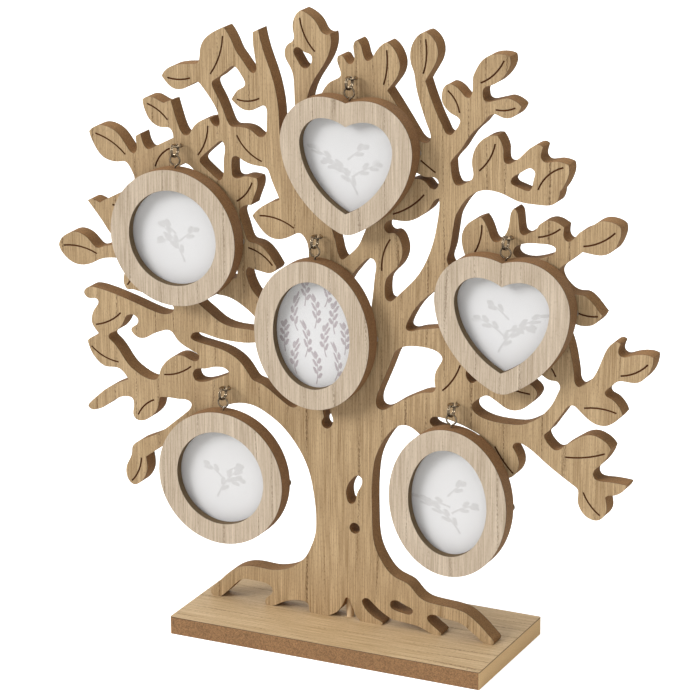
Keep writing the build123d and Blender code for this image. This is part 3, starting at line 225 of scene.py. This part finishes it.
def veneered(name, colours, edge, along_axis, face_axis, offset, ringed, frame_name=None):
    # veneer on the faces that look along the face axis, and its cut rim on the others
    face, dark, pore = [tone(colour) for colour in colours]
    material, recipe = new_finish(name)
    place = recipe.place()
    facing = recipe.facing()
    across_axis = 3 - along_axis - face_axis
    bands, lines, pores, rows = veneer_figure(recipe, place[across_axis], place[along_axis], offset)
    shade = bands.over(0.50, 0.40) * 0.35 + lines.over(0.50, 0.26) * 0.65 - rows * 0.15
    wood = recipe.mix(pores * ringed, recipe.mix(shade, dark, face), pore)
    # the cut rim of the thin veneer is darker than the board behind it
    specks, cloud = board_speckle(recipe, place)
    core = recipe.mix(specks.over(0.5, 0.5), tone(edge, RIM_LOW), tone(edge, RIM_HIGH))
    core = recipe.mix(cloud.over(0.5, 0.6) * 0.35, core, tone(edge, RIM_CLOUD))
    # painted shade on the veneer's rim where it lines the window walls
    if frame_name is not None:
        core = recipe.mix(window_wall(place, facing, frame_name), core, tone(PAINTED_WALL_SHADE))
    flat = abs(facing[face_axis]).over(*SQUARE_ON)
    rounded = recipe.rounded(VENEER_ARRIS)
    # lighter arrises: partly rubbed wear, partly a painted highlight
    rubbed_and_highlit_arris = recipe.arris(rounded) * recipe.even_noise(place, RUB_AND_HIGHLIGHT_RATE).over(0.45, 0.3)
    colour = recipe.mix(rubbed_and_highlit_arris * 0.30, recipe.mix(flat, core, wood), face)
    height = (lines * 0.5 - pores) * flat + specks * (1 - flat) * 0.8
    recipe.surface({
        "Base Color": colour, "Specular IOR Level": 0.35,
        "Roughness": 0.62 + pores * 0.2 + (1 - flat) * 0.16 - lines * 0.06,
        "Normal": recipe.bump(height, 0.12 * MM, 0.8, rounded)})
    return material


def fibreboard(name, edge, speck, burnt=None, frame_name=None, painted_end_light=None):
    # the board, with burnt grooves, painted shade on the window walls or painted light on the sawn ends
    # where those are given
    material, recipe = new_finish(name)
    place = recipe.place()
    facing = recipe.facing()
    specks, cloud = board_speckle(recipe, place)
    chips = recipe.even_noise(place, CHIP_RATE, 2.0, 0.6)
    low = tone(edge, 1 - speck)
    high = tone(edge, 1 + speck * 0.8)
    colour = recipe.mix(specks.over(0.5, 0.30) * 0.75 + chips.over(0.5, 0.35) * 0.25, low, high)
    colour = recipe.mix(cloud.over(0.5, 0.6) * 0.4, colour, tone(edge, 0.88))
    if burnt is not None:
        char = recipe.mix(specks, tone(burnt), tone(burnt, 1.7))
        colour = recipe.mix(abs(facing[1]).over(*SQUARE_ON), colour, char)
    # painted light: the sawn ends, which look along x, are painted paler
    if painted_end_light is not None:
        lit_ends = recipe.mix(specks.over(0.5, 0.30), tone(painted_end_light, 0.92), tone(painted_end_light))
        colour = recipe.mix(abs(facing[0]).over(*SQUARE_ON), colour, lit_ends)
    # painted shade on the window walls that look towards the frame's middle
    if frame_name is not None:
        painted_wall_shade = recipe.mix(specks.over(0.5, 0.4), tone(PAINTED_WALL_SHADE), tone(PAINTED_WALL_SHADE, 1.12))
        colour = recipe.mix(window_wall(place, facing, frame_name), colour, painted_wall_shade)
    rounded = recipe.rounded(BOARD_ARRIS)
    # lighter arrises: partly chipped wear, partly a painted highlight
    chipped_and_highlit_arris = recipe.arris(rounded) * chips.over(0.42, 0.3)
    recipe.surface({
        "Base Color": recipe.mix(chipped_and_highlit_arris * 0.25, colour, high), "Roughness": 0.74 + specks * 0.14,
        "Specular IOR Level": 0.3,
        "Normal": recipe.bump(specks * 0.7 + chips * 0.6, 0.12 * MM, 0.7, rounded)})
    return material


def hardboard(name, light, dark):
    # the brown backing board, with long matted fibres
    material, recipe = new_finish(name)
    x, y, z = place = recipe.place()
    swirl = recipe.even_noise(place, SWIRL_RATE) * SWIRL_REACH

    def fibres(across, rate):
        return recipe.noise(across * rate[0], y * MATTED_RATE[0], (z + swirl) * rate[1], 3.0, 0.7)

    weft = fibres(x + swirl, MATTED_RATE).most(fibres(x - swirl, CROSSED_RATE))
    recipe.surface({
        "Base Color": recipe.mix(weft.over(0.56, 0.3), tone(dark), tone(light)),
        "Roughness": 0.6 + weft * 0.25, "Normal": recipe.bump(weft, 0.15 * MM, 0.7)})
    return material


def turned_beech(name, light, dark):
    material, recipe = new_finish(name)
    x, y, z = recipe.place()
    flecks = recipe.noise(x * FLECK_RATE[0], y * FLECK_RATE[0], z * FLECK_RATE[1], 2.0)
    bands = recipe.noise(x * BEECH_RATE[0], y * BEECH_RATE[0], z * BEECH_RATE[1], 3.0)
    shade = bands.over(0.5, 0.4) * 0.6 + flecks.over(0.6, 0.2) * 0.3
    recipe.surface({
        "Base Color": recipe.mix(shade, tone(light), tone(dark)), "Roughness": 0.55 + flecks * 0.15,
        "Normal": recipe.bump(bands + flecks, 0.08 * MM, 0.6)})
    return material


def metal(name, bright, tarnish_and_shade, gloss, amount):
    # plated metal, with painted shade where it looks down and tarnish in patches
    material, recipe = new_finish(name)
    place = recipe.place()
    patch = recipe.even_noise(place, STAIN_RATE, 3.0, 0.6)
    grit = recipe.even_noise(place, GRIT_RATE)
    # painted shade: darker where the surface looks down
    painted_underside_shade = 1 - recipe.facing()[2].over(0.0, 0.9)
    stain_and_shade = (patch.over(0.52, 0.25) * 0.4 + painted_underside_shade * 0.9).maths("MULTIPLY", amount, clamp=True)
    recipe.surface({
        "Base Color": recipe.mix(stain_and_shade, tone(bright), tone(tarnish_and_shade)), "Metallic": 1 - stain_and_shade * 0.25,
        "Roughness": gloss + stain_and_shade * 0.25 + grit * 0.06,
        "Normal": recipe.bump(patch * 0.6 + grit * 0.4, 0.04 * MM, 0.5)})
    return material


def clear_sheet(name):
    material, recipe = new_finish(name)
    place = recipe.place()
    smear = recipe.noise(*[part * rate for part, rate in zip(place, SMEAR_RATE)], 3.0)
    scratch = recipe.noise(*[part * rate for part, rate in zip(place, SCRATCH_RATE)], 1.0).over(0.74, 0.05)
    recipe.surface({
        "Base Color": tone((246, 248, 250)), "Roughness": 0.05 + smear * 0.08 + scratch * 0.2,
        "Alpha": 0.05 + smear * 0.03 + scratch * 0.03})
    return material


LEAF_SPREAD = math.radians(50)
PRINT_BLUR = 0.18 * MM
SIDE_BLUR = 0.01 * MM


def sprig(x, z, root, lean, curl, length, thick, step, leaf, width):
    # one curved stem with leaves set in turn on both sides and a leaf at its tip
    turn = math.radians(lean)
    right = x - root[0]
    up = z - root[1]
    along = right * math.sin(turn) + up * math.cos(turn)
    across = right * math.cos(turn) - up * math.sin(turn) - along * along * curl
    side = abs(across)
    within = along.over(0, PRINT_BLUR) * (1 - along.over(length, PRINT_BLUR))
    stem = (thick - along * (thick * 0.5 / length) - side).over(0, PRINT_BLUR) * within
    turns = across.over(0, SIDE_BLUR) * 0.5
    lane = (along - side / math.tan(LEAF_SPREAD)) / step + turns
    number = lane.maths("FLOOR")
    start = number + 0.5 - turns
    off = abs(lane - number - 0.5) * (step * math.sin(LEAF_SPREAD))
    reach = side / (leaf * math.sin(LEAF_SPREAD))
    belly = reach * (1 - reach) * (2 * width)
    held = start.over(0.8, 0.1) * (1 - start.over(length / step, 0.1))
    leaves = (belly - off).over(0, PRINT_BLUR) * held
    end = (along - length) / leaf
    tip = (end * (1 - end) * (2 * width) - side).over(0, PRINT_BLUR)
    return stem.most(leaves).most(tip)


def printed_card(name, inks, stems):
    material, recipe = new_finish("printed_card_" + name)
    place = recipe.place()
    low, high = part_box(name + "_card")
    middle = (low + high) / 2
    right = place[0] - middle.x
    up = place[2] - middle.z
    drawn = None
    for root, lean, curl, *sizes in stems:
        mark = sprig(right, up, (root[0] * MM, root[1] * MM), lean, curl, *[size * MM for size in sizes])
        drawn = mark if drawn is None else drawn.most(mark)
    fibre = recipe.even_noise(place, PAPER_FIBRE_RATE)
    cloud = recipe.even_noise(place, PAPER_CLOUD_RATE)
    paper = recipe.mix(cloud, *[tone(colour) for colour in PAPER])
    inked = recipe.mix(fibre.over(0.5, 0.5), *[tone(ink) for ink in inks])
    recipe.surface({
        "Base Color": recipe.mix(drawn, paper, inked), "Roughness": 0.5 + fibre * 0.15 - drawn * 0.08,
        "Normal": recipe.bump(fibre + drawn * 0.3, 0.03 * MM, 0.5)})
    return material


def dress(finish, *names):
    for name in names:
        for slot in nodes[name].material_slots:
            slot.material = finish


# Wood: each veneer has its face, its darker grain and its pores
X_AXIS, Y_AXIS, Z_AXIS = range(3)
TREE_EDGE = (150, 112, 70)
FOOT_EDGE = (146, 110, 75)
FRAME_EDGE = (145, 110, 75)
# painted shade colour for the window walls inside each frame
PAINTED_WALL_SHADE = (98, 81, 58)
FRAME_COLOURS = ((216, 199, 178), (168, 149, 126), (112, 91, 70))
dress(veneered("tree_veneer", ((206, 178, 138), (146, 117, 80), (86, 60, 35)),
               TREE_EDGE, Z_AXIS, Y_AXIS, 1.0, 0.85), "tree_front_veneer", "tree_back_veneer")
dress(veneered("foot_veneer", ((221, 194, 153), (172, 142, 100), (106, 78, 48)),
               FOOT_EDGE, X_AXIS, Z_AXIS, 5.0, 0.8), "foot_veneer")
dress(fibreboard("tree_fibreboard", TREE_EDGE, 0.22, burnt=(66, 36, 12)), "tree_board")
# the foot's sawn ends get painted light
dress(fibreboard("foot_fibreboard", FOOT_EDGE, 0.28, painted_end_light=(244, 206, 152)), "foot_board")
dress(turned_beech("turned_beech", (226, 200, 162), (204, 172, 130)), "trunk_dowel")

# Metal: tarnish in patches and painted shade on the undersides
WIRE_TARNISH_AND_SHADE = (38, 26, 15)
dress(metal("aged_shaded_eye_wire", (184, 166, 140), WIRE_TARNISH_AND_SHADE, 0.16, 0.9), "tree_eyes")
dress(metal("zinc_screws", (196, 194, 188), (128, 122, 112), 0.35, 0.5), "base_screws")
ring_metal = metal("aged_shaded_ring_wire", (188, 170, 144), WIRE_TARNISH_AND_SHADE, 0.16, 0.9)
fitting_metal = metal("aged_shaded_frame_fittings", (188, 170, 144), WIRE_TARNISH_AND_SHADE, 0.16, 0.9)
button_metal = metal("nickel_button", (204, 200, 190), (146, 138, 122), 0.32, 0.5)

# Backs and clear sheets
backing = hardboard("brown_hardboard", (134, 96, 62), (92, 62, 38))
clear = clear_sheet("clear_sheet")

# Prints: each stem is its root in mm from the card's middle, its lean, curl and length, and then
# half its thickness and its leaves' step, length and width
PAPER = ((226, 225, 225), (231, 230, 231))
PALE_INKS = ((206, 204, 204), (214, 212, 212))
MAUVE_INKS = ((176, 164, 168), (184, 172, 176))
TWIGS = (0.75, 7.2, 5.2, 3.9)
SMALL_TWIG = (0.4, 4.8, 4.6, 2.7)
SMALL_TWIG_LENGTH = 17
PRINTS = {
    "top_left": [((5, -17), -20, -10, 25, *TWIGS), ((1, -6), -68, -14, 11, *TWIGS),
                 ((1, -4), 44, 10, 13, *TWIGS), ((-1, 1), -48, -8, 8, *TWIGS)],
    "lower_left": [((-6, -16), 22, 10, 25, *TWIGS), ((-2, -5), 70, 12, 12, *TWIGS),
                   ((-1, -3), -44, -10, 13, *TWIGS), ((1, 2), 52, 8, 8, *TWIGS)],
    "lower_right": [((6, -22), -30, -14, 32, *TWIGS), ((0, -9), 52, 12, 15, *TWIGS),
                    ((-1, -5), -70, -12, 13, *TWIGS), ((-3, 2), 40, 8, 12, *TWIGS)],
    "top_heart": [((5, -19), -24, -12, 36, *TWIGS), ((1, -8), 50, 10, 18, *TWIGS),
                  ((0, -5), -64, -10, 16, *TWIGS), ((-2, 3), 46, 8, 13, *TWIGS)],
    "right_heart": [((-5, -19), 24, 12, 35, *TWIGS), ((-1, -8), -50, -10, 18, *TWIGS),
                    ((0, -5), 64, 10, 16, *TWIGS), ((2, 3), -46, -8, 13, *TWIGS)],
    "middle": [((x, z), lean, -lean, SMALL_TWIG_LENGTH, *SMALL_TWIG)
               for x, z, lean in ((-14, -29, -24), (0, -34, 12), (13, -30, 32), (-22, -15, -8),
                                  (-8, -17, 26), (7, -15, -20), (20, -12, 8), (-13, 0, -34),
                                  (-1, 3, 18), (13, 1, -14), (-8, 17, 10), (6, 18, 30))],
}
for name in NAMES:
    dress(veneered(name + "_veneer_finish", FRAME_COLOURS, FRAME_EDGE, Z_AXIS, Y_AXIS, 9.0, 0.6, name),
          name + "_veneer")
    dress(fibreboard(name + "_fibreboard", FRAME_EDGE, 0.20, frame_name=name), name + "_frame")
    dress(backing, name + "_backing")
    dress(clear, name + "_glazing")
    dress(ring_metal, name + "_ring")
    dress(button_metal, name + "_button")
    dress(fitting_metal, name + "_fittings")
    inks = MAUVE_INKS if name == "middle" else PALE_INKS
    dress(printed_card(name, inks, PRINTS[name]), name + "_card")

# Floor and surroundings
FLOOR_SIZE = 14
FLOOR_TONE = (238, 238, 236)
FLOOR_GLOW = 0.75
SOFT_COLOUR = (1, 0.985, 0.96, 1)
SOFT_STRENGTH = 0.24


def seen_white(recipe):
    # 1 where the floor or the surroundings are looked at, straight or through a clear sheet
    return recipe.node("ShaderNodeLightPath", {}, {}, "Is Camera Ray").most(
        recipe.node("ShaderNodeLightPath", {}, {}, "Is Transmission Ray"))


bpy.ops.object.select_all(action="DESELECT")
bpy.ops.mesh.primitive_plane_add(size=FLOOR_SIZE)
floor = bpy.context.object
floor.name = "floor"
paper, recipe = new_finish("floor_paper")
lit = recipe.node("ShaderNodeBsdfDiffuse", {}, {"Color": tone(FLOOR_TONE)})
glow = recipe.node("ShaderNodeEmission", {}, {"Strength": FLOOR_GLOW})
bright = recipe.node("ShaderNodeAddShader", {}, {0: lit, 1: glow})
recipe.finish(recipe.node("ShaderNodeMixShader", {}, {0: seen_white(recipe), 1: lit, 2: bright}))
floor.data.materials.append(paper)

world = bpy.data.worlds.new("studio")
bpy.context.scene.world = world
world.use_nodes = True
recipe = Recipe(world.node_tree)
soft = recipe.node("ShaderNodeBackground", {}, {"Color": SOFT_COLOUR, "Strength": SOFT_STRENGTH})
white = recipe.node("ShaderNodeBackground", {}, {"Color": (1, 1, 1, 1), "Strength": 1.0})
recipe.finish(recipe.node("ShaderNodeMixShader", {}, {0: seen_white(recipe), 1: soft, 2: white}),
              "ShaderNodeOutputWorld")

# Lamps: the way the light goes, its strength and how many degrees its source fills
LAMPS = {
    "key": ((0.76, 0.80, -0.55), 1.98, 26),
    "fill": ((-0.70, 0.60, -0.35), 0.34, 60),
    "top": ((0.10, 0.15, -1.0), 1.35, 50),
    "back": ((0.30, -0.85, -0.45), 0.75, 60),
}
for name, (towards, strength, spread) in LAMPS.items():
    data = bpy.data.lights.new(name, "SUN")
    data.energy = strength
    data.angle = math.radians(spread)
    lamp = bpy.data.objects.new(name, data)
    lamp.rotation_mode = "QUATERNION"
    lamp.rotation_quaternion = Vector(towards).to_track_quat("-Z", "Y")
    bpy.context.scene.collection.objects.link(lamp)

# Camera
EYE = Vector((0.8798, -1.8522, 0.8543))
AIM = Vector((-0.0033, 0, 0.1945))
ROLL = math.radians(-0.19)
LENS = 173.9
SENSOR_WIDTH = 36
FAR_LIMIT = 50
data = bpy.data.cameras.new("camera")
data.lens = LENS
data.sensor_width = SENSOR_WIDTH
data.clip_end = FAR_LIMIT
camera = bpy.data.objects.new("camera", data)
camera.location = EYE
camera.rotation_mode = "QUATERNION"
camera.rotation_quaternion = (AIM - EYE).to_track_quat("-Z", "Y") @ Quaternion((0, 0, 1), ROLL)
bpy.context.scene.collection.objects.link(camera)
bpy.context.scene.camera = camera
bpy.context.scene.view_settings.view_transform = "Standard"
